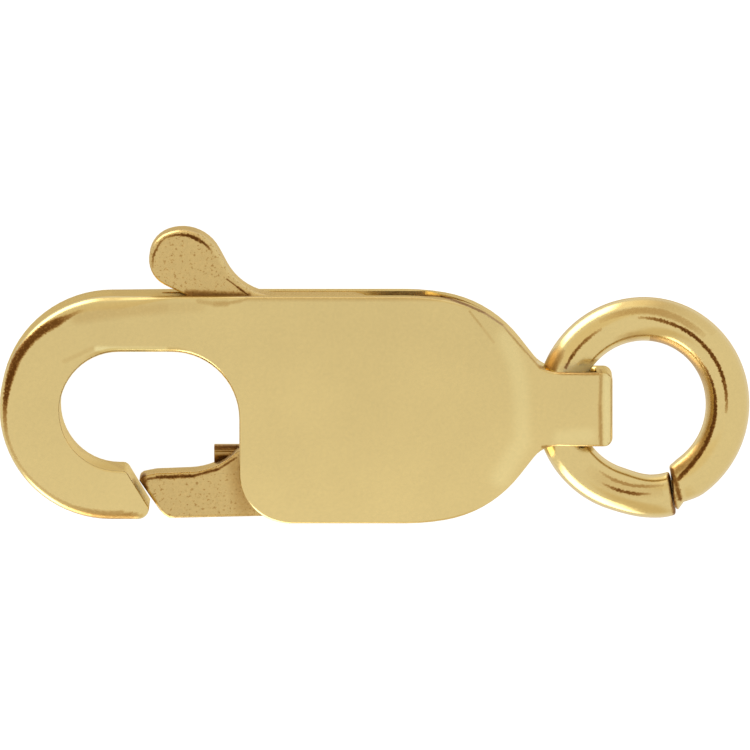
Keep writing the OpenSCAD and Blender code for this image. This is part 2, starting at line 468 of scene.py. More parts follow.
def press_tail(piece, sizes):
    """Draws the plates together at the neck and lets them rise again along the bail."""
    mid, half = mm(sizes.thickness) / 2, mm(sizes.height) / 2
    first = DIP_START - DIP_BOW * half * half
    rise = [DIP_END + (BAIL_RISE - DIP_END) * i / RISE_CUTS for i in range(1, RISE_CUTS + 1)]
    for x in [first + (DIP_END - first) * i / DIP_CUTS for i in range(DIP_CUTS + 1)] + rise:
        bisect(piece, (x, 0, 0), (1, 0, 0), first - 0.01)
    for i in range(1 - ROW_CUTS, ROW_CUTS):
        bisect(piece, (0, i * half / ROW_CUTS, 0), (0, 1, 0), first - 0.01)
    mesh = bmesh.new()
    mesh.from_mesh(piece.data)
    for vertex in mesh.verts:
        x, y, z = vertex.co
        share = min(1, max(0, (abs(z - mid) - PRESS_FROM) / PRESS_RAMP))
        if x > first and share > 0:
            vertex.co.z -= math.copysign(share * (mid - plate_half(x, y, mid)), z - mid)
    mesh.to_mesh(piece.data)
    mesh.free()


def bisect(piece, point, normal, from_x):
    """Cuts the faces past from_x along a plane."""
    pick(piece, "FACE", lambda face: max(v.co.x for v in face.verts) > from_x)
    bpy.ops.mesh.bisect(plane_co=point, plane_no=normal)
    object_mode()


def draw_slot(sizes):
    half = slot_half(sizes)
    shares = [i / TAPER_STEPS for i in range(TAPER_STEPS + 1)]
    taper = [(SLOT_TAPER + (SLOT_END - SLOT_TAPER) * share, half * (1 - share) ** TAPER_POWER)
             for share in shares]
    slit = [(SLOT_START + along, half * share) for along, share in SLIT]
    upper = slit + taper
    pen = Pen("slot", upper[0]).to(*upper[1:], *((x, -z) for x, z in reversed(upper[:-1])))
    return side_solid(pen.close(), sizes)


def draw_hole(sizes):
    x0, x1, half = HOLE
    left, right = x0 + HOLE_CORNER, x1 - HOLE_END_CORNER
    pen = Pen("hole", (x0, half - HOLE_CORNER)).turn((left, half - HOLE_CORNER), -90)
    pen.to((right, half)).turn((right, half - HOLE_END_CORNER), -90)
    pen.to((x1, HOLE_END_CORNER - half)).turn((right, HOLE_END_CORNER - half), -90)
    pen.to((left, -half)).turn((left, HOLE_CORNER - half), -90)
    return side_solid(pen.close(), sizes)


def side_solid(piece, sizes):
    """A side view made wide enough to pass through the case at its mid height."""
    width = mm(sizes.height)
    thicken(piece, -width, width)
    stand_up(piece)
    edit(piece)
    select_all()
    bpy.ops.transform.translate(value=(0, 0, mm(sizes.thickness) / 2))
    object_mode()
    return piece


# The rounding of the case's edges, and where along X it runs out at the slot
HOLE_RIM = 0.09
SLOT_RIM = 0.03
SLOT_RIM_RUN = (8.0, 8.4)
HOOK_FOOT_RIM = 0.17
EYE_RIM = 0.045
EYE_TOP_RIM = 0.09
EYE_CORNER_RIM = 0.06
TIP_RIM = 0.15
BODY_RIM = 0.08


def case_radius(sizes):
    """Gives the rounding of the case's edges by their place."""
    mid, half = mm(sizes.thickness) / 2, mm(sizes.height) / 2
    hook, eye = mm(sizes.hook_radius), mm(sizes.eye_radius)
    rim, hook_rim = mm(sizes.rim_radius), mm(sizes.hook_rim_radius)
    hook_centre = Vector((hook, half - hook))

    def at(place, along):
        x, y, z = place
        if abs(along.z) > UPRIGHT:
            return 0
        if abs(z - mid) < slot_half(sizes) + 0.02:
            if x > HOLE[0] - 0.1:
                return HOLE_RIM
            return 0 if abs(along.y) > UPRIGHT else SLOT_RIM * (1 - fade(x, *SLOT_RIM_RUN))
        from_hook = (Vector((x, y)) - hook_centre).length
        outer = from_hook > hook - 0.1 if x < hook else abs(y) > half - 0.1
        if x < RIM_RUN and outer and (y > 0 or x < TIP_X - TIP_CORNER):
            if x > hook and y > 0:
                return rim + (hook_rim - rim) * (1 - fade(x, hook - 0.3, RIM_RUN))
            side = hook_rim * (0.4 + 0.25 * fade(y, 0.8, 1.8) + 0.35 * fade(y, 1.8, 2.15))
            return max(side, HOOK_FOOT_RIM * fade(y, -0.8, -1.6))
        if x < BODY_EDGE + 0.01 and y > -eye - 0.1:
            corner = fade(y, 0.2, 0.9) * fade(x, 3.3, 4.4)
            return EYE_RIM + EYE_TOP_RIM * fade(y, 0.1, 1.0) + EYE_CORNER_RIM * corner
        if x < TIP_X + 0.01 and y < -1.85:
            return TIP_RIM
        if x < BODY_EDGE + BODY_CORNER + 0.1 and y < -1.2:
            return BODY_RIM
        return rim

    return at


def build_case(sizes, material):
    piece = thicken(draw_case(sizes), 0, mm(sizes.thickness))
    cut(piece, draw_skin(sizes), "INTERSECT")
    cut(piece, draw_slot(sizes))
    cut(piece, draw_hole(sizes))
    tidy_faces(piece)
    round_edges(piece, case_radius(sizes))
    press_tail(piece, sizes)
    finish_piece(piece, "case", ["case"], material)


# The shapes of the trigger
TAB = Vector((3.645, 2.74))
TAB_TOE = Vector((3.556, 2.984))
TAB_TOE_SLOPE = 27.7
# Where the tab's upper arc meets the smaller one of its toe, in degrees
TAB_JOIN = 110
HEEL = Vector((5.529, 3.375))
HEEL_RADIUS = 1.125
LEVER_TOE = (3.86, 2.2)
LEVER_FRONT = (5.05, -0.8)
LEVER_HOLLOW = Vector((3.436, -0.192))
LEVER_HOLLOW_RADIUS = 1.7
JAW_HOLLOW = Vector((3.751, 0.127))
JAW_HOLLOW_RADIUS = 1.4
NOSE = Vector((2.785, -1.45))
NOSE_FACE = Vector((3.304, -2.2))
# The nose's round point, as steps from NOSE
NOSE_STEPS = ((0.34, 0.152), (0.17, 0.12), (0.08, 0.1), (0.02, 0.055), (0, 0))
CHIN_RADIUS = 0.2
CHIN_BOW = 0.08
JAW_FOOT = (BODY_EDGE + 0.5, -2.16)
BELLY = (6.6, -1.6)
LEVER_HEEL = Vector((7.08, -0.35))
LEVER_HEEL_RADIUS = 0.75
LEVER_BACK = Vector((6.98, 1.4))
LEVER_BACK_RADIUS = 0.85


def draw_trigger(sizes):
    radius = mm(sizes.tab_radius)
    between = HEEL - TAB
    lean = math.degrees(math.atan2(between.y, between.x))
    lean += math.degrees(math.acos((radius + HEEL_RADIUS) / between.length))
    pen = Pen("trigger_lever", TAB + polar(radius, lean))
    pen.turn(TAB, TAB_JOIN - lean).turn(TAB_TOE, 270 - TAB_TOE_SLOPE - TAB_JOIN)
    pen.to(LEVER_TOE, LEVER_HOLLOW + polar(LEVER_HOLLOW_RADIUS, 75)).turn(LEVER_HOLLOW, -95)
    pen.to(LEVER_FRONT, JAW_HOLLOW + polar(JAW_HOLLOW_RADIUS, -45)).turn(JAW_HOLLOW, -43)
    face = (NOSE_FACE - NOSE).normalized()
    pen.to(*(NOSE + Vector(step) for step in NOSE_STEPS))
    pen.to(NOSE_FACE - CHIN_RADIUS * face, NOSE_FACE - CHIN_BOW * face + Vector((0.02, 0)))
    pen.to(NOSE_FACE + Vector((CHIN_BOW, 0.005)), NOSE_FACE + Vector((CHIN_RADIUS, 0)))
    pen.to(JAW_FOOT, BELLY, LEVER_HEEL + polar(LEVER_HEEL_RADIUS, -90)).turn(LEVER_HEEL, 90)
    pen.to(LEVER_BACK + polar(LEVER_BACK_RADIUS, 0)).turn(LEVER_BACK, 90)
    pen.to(HEEL + polar(HEEL_RADIUS, 270)).turn(HEEL, lean - 90)
    return pen.close()


LEVER_RIM = 0.03
# How much more the tab's upper left edge is rounded than the rest of it
TAB_CROWN = 0.5


def trigger_radius(sizes):
    """Gives the rounding of the trigger's edges by their place."""
    tab_rim, jaw_rim = mm(sizes.tab_rim), mm(sizes.jaw_rim)

    def at(place, along):
        x, y, _ = place
        if abs(along.z) > UPRIGHT:
            return 0
        if y > 2.0:
            crown = TAB_CROWN * fade(y, 3.1, 3.4) * (1 - fade(x, 3.5, 3.9))
            return tab_rim * (max(0.4 + 0.6 * fade(y, 2.75, 3.15), fade(x, 3.7, 4.1)) + crown)
        if y < -0.8 and x < 5:
            return jaw_rim
        return LEVER_RIM

    return at


def build_trigger(sizes, material):
    piece = thicken(draw_trigger(sizes), TRIGGER_LOW.z, TRIGGER_HIGH.z)
    round_edges(piece, trigger_radius(sizes))
    finish_piece(piece, "trigger", ["trigger"], material)


# The front of the spring with its rib: how far each point is below its top and behind its front
SPRING_FRONT = ((0, 0.1), (0.06, 0.02), (0.1, 0.04), (0.14, 0), (0.2, 0.01), (0.26, 0.1), (0.42, 0.2))
SPRING_RIM = 0.012


def build_spring(material):
    """The folded end of the return spring, a strip with a raised rib."""
    low, high = SPRING_LOW - DATUM, SPRING_HIGH - DATUM
    front = [(high.y - down, high.z - behind) for down, behind in SPRING_FRONT]
    piece = Pen("spring_leaf", (high.y, low.z)).to(*front, (front[-1][0], low.z)).close()
    thicken(piece, low.x - 0.02, high.x)
    piece.rotation_euler = (math.pi / 2, 0, math.pi / 2)
    settle(piece)
    round_edges(piece, lambda place, along: SPRING_RIM, sharp=30, segments=3)
    finish_piece(piece, "trigger", ["spring"], material)


RING_SIDES = 40
RING_STEPS = 144
# How far from the cut the wire's ends are askew, in degrees
END_REACH = 13
# Each end's size, its shift outward in mm and how far that reaches, its turn and its lean in degrees
RIGHT_END = (0.9, -0.015, 13, -7, 9)
LEFT_END = (1.0, 0.13, 38, -9, 15)
END_RIM = 0.045


def shape_ring_end(piece, radius, step, side, size, shift, reach, turn, lean):
    """Shapes the wire's last sections, with the end set on the X axis and its wire on that side of it.

    The very end is swelled or pinched to size, shifted outward, set askew by turn in the ring's
    plane and tipped by lean towards the front. All this fades out along the wire.
    """
    sections = [set() for _ in range(math.ceil(reach / step))]
    for vertex in piece.data.vertices:
        at = round(math.degrees(math.atan2(vertex.co.y, vertex.co.x)) * side / step)
        if 0 <= at < len(sections):
            sections[at].add(vertex.index)
    for i, section in enumerate(sections):
        pick(piece, "VERT", lambda v: v.index in section)
        along = math.radians(i * step)
        centre = Vector((math.cos(along), side * math.sin(along), 0)) * radius
        share = max(0, 1 - i * step / END_REACH)
        bpy.ops.transform.resize(value=[1 + (size - 1) * fade(share, 0, 1)] * 3, center_override=centre)
        for axis, askew in (("Z", turn), ("X", lean)):
            bpy.ops.transform.rotate(
                value=math.radians(-askew) * share, orient_axis=axis, center_override=centre)
        bpy.ops.transform.translate(value=centre.normalized() * shift * fade(i * step, reach, 0))
    object_mode()


def spin_to(piece, radians):
    piece.rotation_euler = (0, 0, radians)
    settle(piece)


def build_ring(sizes, material):
    """The wire is one disc spun round the ring, with its two sheared ends shaped after."""
    wire, radius = mm(sizes.wire) / 2, mm(sizes.radius)
    gap = mm(sizes.cut_gap) / radius
    pivot = PIVOT["ring_swing"]
    low = RING_LOW - DATUM
    tilt = math.asin((pivot.z - wire) / (2 * radius))
    only()
    bpy.ops.mesh.primitive_circle_add(
        vertices=RING_SIDES, radius=wire, fill_type="NGON", location=(0, 0, 0))
    piece = bpy.context.object
    piece.name = piece.data.name = "ring_wire"
    stand_up(piece)
    piece.location = (radius, 0, 0)
    settle(piece)
    edit(piece)
    select_all()
    bpy.ops.mesh.spin(steps=RING_STEPS, angle=gap - 2 * math.pi, center=(0, 0, 0), axis=(0, 0, 1))
    merge_points()
    face_out()
    object_mode()
    step = math.degrees(2 * math.pi - gap) / RING_STEPS
    shape_ring_end(piece, radius, step, 1, *RIGHT_END)
    spin_to(piece, gap)
    shape_ring_end(piece, radius, step, -1, *LEFT_END)
    spin_to(piece, sizes.cut_at - gap / 2)
    round_edges(piece, lambda place, along: END_RIM, sharp=60, segments=4)
    centre = Vector((pivot.x, low.y + wire + radius, pivot.z))
    piece.matrix_world = (Matrix.Translation(centre) @ Matrix.Rotation(tilt, 4, "Y")
                          @ Matrix.Translation((radius, 0, 0)))
    settle(piece)
    finish_piece(piece, "jump_ring", ["jump_ring"], material)


def maths_method(operation, swapped=False):
    def method(self, other):
        return self.graph.maths(operation, *((other, self) if swapped else (self, other)))
    return method


class Mask:
    """A number that varies over a surface. Arithmetic on it adds Math nodes."""

    def __init__(self, graph, socket):
        self.graph, self.socket = graph, socket

    def __abs__(self):
        return self.graph.maths("ABSOLUTE", self)

    __add__ = __radd__ = maths_method("ADD")
    __sub__ = maths_method("SUBTRACT")
    __rsub__ = maths_method("SUBTRACT", swapped=True)
    __mul__ = __rmul__ = maths_method("MULTIPLY")
    __truediv__ = maths_method("DIVIDE")
    __rtruediv__ = maths_method("DIVIDE", swapped=True)
    __pow__ = maths_method("POWER")


class Graph:
    """Adds nodes to a material's or the world's tree."""

    def __init__(self, tree):
        self.tree = tree
        tree.nodes.clear()

    def node(self, kind, settings=None, inputs=None, output=0):
        made = self.tree.nodes.new(kind)
        for key, value in (settings or {}).items():
            setattr(made, key, value)
        for key, value in (inputs or {}).items():
            by_name = [s for s in made.inputs if key in (s.identifier, s.name)]
            socket = made.inputs[key] if isinstance(key, int) else by_name[0]
            if isinstance(value, Mask):
                self.tree.links.new(value.socket, socket)
            else:
                socket.default_value = value
        return Mask(self, made.outputs[output]) if made.outputs else None

    def maths(self, operation, *values, clamp=False):
        return self.node("ShaderNodeMath", {"operation": operation, "use_clamp": clamp},
                         dict(enumerate(values)))

    def vectors(self, operation, *values):
        return self.node("ShaderNodeVectorMath", {"operation": operation}, dict(enumerate(values)))

    def blend(self, share, first, second, kind="MIX"):
        """Mixes two colours."""
        first, second = (v if isinstance(v, Mask) else (*v[:3], 1) for v in (first, second))
        return self.node("ShaderNodeMix", {"data_type": "RGBA", "blend_type": kind},
                         {"Factor_Float": share, "A_Color": first, "B_Color": second}, 2)

    def step(self, value, start, end):
        """A smooth run of value from 0 at start to 1 at end."""
        return self.node("ShaderNodeMapRange", {"interpolation_type": "SMOOTHSTEP"},
                         {"Value": value, "From Min": start, "From Max": end})

    def through(self, share, points):
        """A run of straight pieces through points, given as the share along it and the value there."""
        made = self.node("ShaderNodeFloatCurve", None, {"Value": share})
        mapping = made.socket.node.mapping
        mapping.use_clip = False
        curve = mapping.curves[0]
        while len(curve.points) < len(points):
            curve.points.new(0.5, 0.5)
        for knot, point in zip(curve.points, points):
            knot.location = point
            knot.handle_type = "VECTOR"
        mapping.update()
        return made

    def axes(self, vector):
        split = self.node("ShaderNodeSeparateXYZ", None, {0: vector}).socket.node
        return [Mask(self, socket) for socket in split.outputs]

    def noise(self, place, grain, detail=2.0, roughness=0.5):
        """Noise whose lumps are about as wide as grain, in millimetres."""
        return self.node("ShaderNodeTexNoise", None, {
            "Vector": place, "Scale": 1 / (grain * MM), "Detail": detail, "Roughness": roughness})


def new_material(name):
    material = bpy.data.materials.new(name)
    material.use_nodes = True
    return material, Graph(material.node_tree)


def place_of(graph):
    """The place on the piece, in metres."""
    return graph.node("ShaderNodeTexCoord", None, None, 3)


# Tarnish and wear, and painted shade, painted reflections and painted highlights, are drawn as bands
# along arcs and lines. Places are the drawing's own, in millimetres, as the camera sees them on the
# plane of the front plate. A piece's arcs have one centre with the squeeze of its width, and rows of
# the angle, the radius, the half width and the strength.
HOOK_AT = (2.23, 0.04, 1.0)
RING_AT = (12.855, 0.043, 1.03)
TAB_AT = (3.695, 2.888, 1.0)
# Painted reflection: the dark band inside the hook's upper outer edge stands in for a dark part of the
# studio; the last arc is painted shade that dims the highlight on the hook's lower edge.
HOOK_PAINTED_REFLECTION_ARCS = (
    ((104, 2.04, 0.02, 0.0), (108, 2.035, 0.03, 0.15), (115, 2.02, 0.04, 0.5),
     (122, 2.03, 0.075, 0.85), (130, 2.07, 0.08, 0.9), (138, 2.095, 0.07, 0.9),
     (145, 2.115, 0.075, 0.95), (152, 2.125, 0.075, 0.95), (160, 2.11, 0.07, 1.0),
     (168, 2.105, 0.055, 1.0), (175, 2.11, 0.045, 0.95), (183, 2.12, 0.035, 0.5),
     (194, 2.15, 0.03, 0.2), (212, 2.15, 0.025, 0.12), (228, 2.11, 0.02, 0.1),
     (245, 2.11, 0.03, 0.14), (262, 2.13, 0.07, 0.28), (278, 2.13, 0.07, 0.25)),
    ((238, 2.18, 0.03, 0.02), (250, 2.18, 0.05, 0.2), (262, 2.18, 0.06, 0.35),
     (282, 2.18, 0.06, 0.35)),
)
# Partly tarnish, partly painted light: a dark line along the wire's crest, painted reflections of dark
# parts of the studio along its inner side, and painted shade that dims highlights and browns the wire in
# places.
RING_TARNISH_AND_REFLECTION_ARCS = (
    ((-4, 1.717, 0.02, 0.1), (6, 1.735, 0.025, 0.6), (20, 1.76, 0.032, 1.0),
     (40, 1.778, 0.033, 1.0), (62, 1.785, 0.033, 1.0), (72, 1.787, 0.03, 0.8),
     (82, 1.8, 0.03, 0.7), (94, 1.816, 0.02, 0.1)),
    ((118, 1.805, 0.02, 0.1), (130, 1.8, 0.028, 0.6), (145, 1.8, 0.028, 0.85),
     (154, 1.79, 0.025, 0.6)),
    ((240, 1.72, 0.02, 0.1), (252, 1.722, 0.03, 0.8), (264, 1.723, 0.032, 0.8),
     (276, 1.73, 0.02, 0.1)),
    ((234, 1.55, 0.02, 0.1), (248, 1.56, 0.03, 0.35), (270, 1.57, 0.03, 0.35),
     (286, 1.6, 0.02, 0.1)),
    ((-65, 1.62, 0.03, 0.5), (-60, 1.57, 0.045, 0.95), (-50, 1.52, 0.045, 1.0),
     (-40, 1.487, 0.043, 1.0), (-20, 1.481, 0.038, 1.0), (0, 1.492, 0.034, 1.0),
     (20, 1.515, 0.025, 0.9), (32, 1.515, 0.02, 0.5), (50, 1.51, 0.02, 0.1)),
    ((-68, 1.42, 0.08, 0.35), (-45, 1.41, 0.08, 0.35), (-20, 1.4, 0.07, 0.2),
     (0, 1.39, 0.06, 0.17), (20, 1.4, 0.07, 0.2), (45, 1.4, 0.06, 0.35), (85, 1.41, 0.06, 0.35)),
    ((144, 2.07, 0.08, 0.1), (148, 2.07, 0.11, 0.35), (158, 2.07, 0.12, 0.45)),
    ((226, 1.66, 0.1, 0.02), (242, 1.66, 0.13, 0.07), (284, 1.66, 0.13, 0.05)),
    ((48, 1.92, 0.05, 0.05), (60, 1.925, 0.06, 0.2), (80, 1.955, 0.07, 0.25),
     (100, 1.96, 0.06, 0.2), (118, 1.95, 0.04, 0.05)),
    ((45, 2.1, 0.06, 0.03), (62, 2.1, 0.08, 0.05), (80, 2.11, 0.08, 0.12), (96, 2.12, 0.05, 0.02)),
    ((84, 1.46, 0.06, 0.03), (100, 1.46, 0.09, 0.13), (114, 1.46, 0.06, 0.03)),
)
# Painted reflection: the dark arc where the thumb tab's flat face meets its rounded rim.
TAB_PAINTED_REFLECTION_ARCS = (
    ((28, 0.615, 0.012, 0.1), (40, 0.6, 0.02, 0.7), (60, 0.59, 0.03, 0.9), (85, 0.61, 0.03, 0.9),
     (105, 0.645, 0.02, 0.7), (125, 0.685, 0.015, 0.4), (158, 0.655, 0.02, 0.6),
     (185, 0.64, 0.015, 0.1)),
)
# Lines have rows of a place and the half width and strength of the stretch that starts there.
# Dark lines, partly tarnish and mostly painted shade and painted reflections: along the bail's end and
# the hole's edges, along the tail's edge and its fold before the neck, along the hook's top and the
# case's upper edge, under the thumb tab and round the eye.
CASE_TARNISH_AND_SHADE_LINES = (
    ((12.003, 0.79, 0.03, 0.22), (11.985, 0.1, 0.035, 0.27), (12.003, -0.74)),
    ((11.185, 0.745, 0.03, 0.35), (11.95, 0.735)),
    ((10.85, -0.735, 0.03, 0.35), (11.95, -0.735)),
    ((8.3, 2.31, 0.02, 0.45), (8.805, 2.284, 0.022, 0.9), (8.981, 2.238, 0.022, 0.9),
     (9.335, 2.108, 0.022, 0.75), (9.687, 1.949, 0.02, 0.5), (10.039, 1.713, 0.02, 0.25),
     (10.393, 1.293, 0.022, 0.2), (10.781, 0.87, 0.03, 0.35), (11.185, 0.75)),
    ((9.38, 1.98, 0.02, 0.13), (9.617, 1.682, 0.025, 0.06), (9.86, 1.36)),
    ((2.3, 2.39, 0.07, 0.1), (3.6, 2.39, 0.07, 0.05), (3.95, 2.39)),
    ((1.55, 1.85, 0.11, 0.07), (2.3, 1.96, 0.11, 0.07), (3.3, 2.06, 0.11, 0.04), (4.0, 2.08)),
    ((3.97, 2.18, 0.045, 0.12), (4.295, 2.13, 0.05, 0.18), (4.53, 2.136, 0.03, 0.16),
     (4.82, 2.19, 0.02, 0.14), (4.95, 2.224)),
    ((4.95, 2.24, 0.05, 0.1), (8.8, 2.24)),
    ((2.3, -2.09, 0.05, 0.25), (2.72, -2.1)),
    ((2.68, -1.28, 0.06, 0.12), (2.95, -1.68)),
    ((1.3, 0.98, 0.04, 0.05), (1.85, 1.24)),
    ((1.33, -0.42, 0.03, 0.12), (1.62, -0.8, 0.03, 0.14), (2.45, -1.15)),
)
# Painted highlights: light bands on the slope of the tail before the neck, along the bail and its end,
# and on the rim over the eye.
CASE_PAINTED_HIGHLIGHTS = (
    ((10.1, 1.45, 0.16, 0.05), (10.3, 0.95, 0.16, 0.05), (10.4, 0.5, 0.16, 0.05),
     (10.43, -0.61, 0.18, 0.05), (10.0, -1.35)),
    ((11.2, -0.55, 0.14, 0.05), (11.75, -0.5)),
    ((12.12, 0.65, 0.07, 0.08), (12.12, -0.65)),
    ((1.95, 1.23, 0.05, 0.12), (3.3, 1.21)),
)
# Dark lines by the cut and beside the neck: partly tarnish, partly painted shade.
RING_TARNISH_AND_SHADE_LINES = (
    ((13.395, -1.33, 0.045, 0.8), (13.505, -2.07)),
    ((13.435, -1.19, 0.04, 0.8), (13.6, -1.78)),
    ((10.8, 0.86, 0.04, 0.5), (10.98, 1.2)),
)
# Where the ring's metal is worn dull against the bail
RING_DULL = (((11.36, 0.81, 0.12, 1.0), (11.86, 0.84)),)
# Painted shade and reflections on the trigger: the dark line where the tab's face meets its rim, painted
# shadow at the tab's foot, the dark line along the jaw's rim and its nose, and shade on the jaw towards
# the case.
TRIGGER_PAINTED_SHADE_LINES = (
    ((4.537, 2.627, 0.012, 0.6), (4.76, 2.46, 0.018, 0.8), (4.965, 2.302)),
    ((3.75, 2.335, 0.06, 0.5), (4.97, 2.285)),
    ((2.95, -1.379, 0.02, 0.6), (3.135, -1.345, 0.03, 0.9), (3.869, -1.315, 0.024, 0.8),
     (4.369, -1.179, 0.02, 0.6), (4.723, -0.95)),
    ((2.86, -1.31, 0.05, 0.7), (2.9, -1.56)),
    ((4.75, -1.1, 0.2, 0.15), (4.9, -1.9)),
)
# Painted highlight along the thumb tab's right rim.
TRIGGER_PAINTED_HIGHLIGHTS = (
    ((4.03, 3.52, 0.05, 0.06), (4.265, 3.287, 0.05, 0.07), (4.413, 3.021, 0.05, 0.07),
     (4.589, 2.756, 0.05, 0.07), (4.823, 2.549, 0.05, 0.06), (5.117, 2.373)),
)
# Painted shade on the spring: its top face and its lower edge darkened.
SPRING_PAINTED_SHADE_LINES = (
    ((4.3, -0.745, 0.045, 0.5), (4.8, -0.745)),
    ((4.34, -1.0, 0.07, 0.5), (4.8, -0.93)),
)


# How far the edges of the tarnish, painted shade and painted highlights wander, in mm, and the shares
# of their half width at which bands and lines have run out and are full
RAGGED = 0.1
ARC_EDGE = (1.5, 0.6)
LINE_EDGE = (1.8, 0.2)


def drawn_place(graph, place):
    """The place on the piece in the drawing's own millimetres."""
    local = graph.node("ShaderNodeVectorMath", {"operation": "SCALE"}, {0: place, "Scale": 1 / MM})
    return graph.axes(graph.vectors("SUBTRACT", local, DATUM))


def seen_place(graph, place):
    """Where the camera sees a place on the plane of the front plate, in the drawing's millimetres."""
    x, y, z = drawn_place(graph, place)
    return x, y - (z - mm(FRONT)) * math.tan(VIEW_TILT)


def deep_in_slot(graph, place, half):
    """1 on the walls far inside the slot, where shade is painted and the metal made rougher, and 0 at
    its mouth and elsewhere.
    """
    x, y, z = drawn_place(graph, place)
    taper = graph.maths("DIVIDE", x - SLOT_TAPER, SLOT_END - SLOT_TAPER, clamp=True)
    wall = (1 - taper) ** TAPER_POWER * half
    within = graph.step(abs(z - mm(FRONT) / 2) - wall, 0.02, 0.005)
    slit_end = SLOT_START + SLIT[-1][0]
    return within * graph.step(x, slit_end, slit_end + 0.18) * graph.step(abs(y), 2.1, 1.7)


def near_arc(graph, x, y, ragged, centre, rows):
    """How strongly an arc of tarnish, painted shade and painted reflection covers a place."""
    centre_x, centre_y, squeeze = centre
    across, up = (x - centre_x) * squeeze, y - centre_y
    first, last = rows[0][0], rows[-1][0]
    middle = math.radians(first + last) / 2
    turned = graph.maths("WRAP", graph.maths("ARCTAN2", up, across) - middle, -math.pi, math.pi)
    share = turned / math.radians(last - first) + 0.5
    angles, *columns = zip(*rows)
    knots = [(at - first) / (last - first) for at in angles]
    radius, wide, strength = (graph.through(share, list(zip(knots, column))) for column in columns)
    off = abs((across * across + up * up) ** 0.5 + ragged - radius)
    return graph.step(off / wide, *ARC_EDGE) * strength * graph.step(abs(share - 0.5), 0.5, 0.49)


def near_line(graph, x, y, ragged, start, end, wide, strength):
    """How strongly a line covers a place."""
    run = Vector(end) - Vector(start)
    along = ((x - start[0]) * run.x + (y - start[1]) * run.y) / run.length_squared
    share = graph.maths("ADD", along, 0, clamp=True)
    across, up = x - (share * run.x + start[0]), y - (share * run.y + start[1])
    off = (across * across + up * up) ** 0.5 + ragged * min(1, wide / 0.04, 3 * strength)
    return graph.step(abs(off) / wide, *LINE_EDGE) * strength


def near_lines(graph, x, y, ragged, lines, covered=0):
    """How strongly the strongest of some lines covers a place, if more than it is covered already."""
    for line in lines:
        for (*start, wide, strength), end in zip(line, line[1:]):
            here = near_line(graph, x, y, ragged, start, end[:2], wide, strength)
            covered = graph.maths("MAXIMUM", covered, here)
    return covered


def draw_marks(graph, place, centre, arcs, lines, painted_highlights):
    """How strongly each place is darkened by tarnish, painted shade and painted reflections, on the
    sides that face up; painted highlights are below 0.
    """
    x, y = seen_place(graph, place)
    ragged = (graph.noise(place, 0.05, 3.0, 0.8) - 0.5) * RAGGED
    covered = 0
    for rows in arcs:
        covered = graph.maths("MAXIMUM", covered, near_arc(graph, x, y, ragged, centre, rows))
    covered = near_lines(graph, x, y, ragged, lines, covered)
    spots = graph.step(graph.noise(place, 0.045, 2.0, 0.6), 0.3, 0.5)
    covered *= spots * 0.35 + 0.65
    bright = near_lines(graph, x, y, ragged, painted_highlights)
    facing = graph.axes(graph.node("ShaderNodeTexCoord", None, None, 1))[2]
    return (covered - bright) * graph.step(facing, -0.2, 0.1)


# What full tarnish and full painted shade let through of the red, green and blue
STAIN_AND_SHADE_TINT = (0.24, 0.115, 0.045)
# How much the clouds and the grain change the tone, the roughness and, in micrometres, the height
CLOUD_TONE, GRAIN_TONE = 0.12, 0.15
GRAIN_ROUGH, STAIN_AND_SHADE_ROUGH = 0.12, 0.6
CLOUD_HEIGHT, GRAIN_HEIGHT, PIT_DEPTH = 4, 0.9, 2
MICROMETRE = 0.001 * MM
# The painted shade and the added roughness far inside the slot
SLOT_PAINTED_SHADE, SLOT_ROUGH = 0.45, 0.25


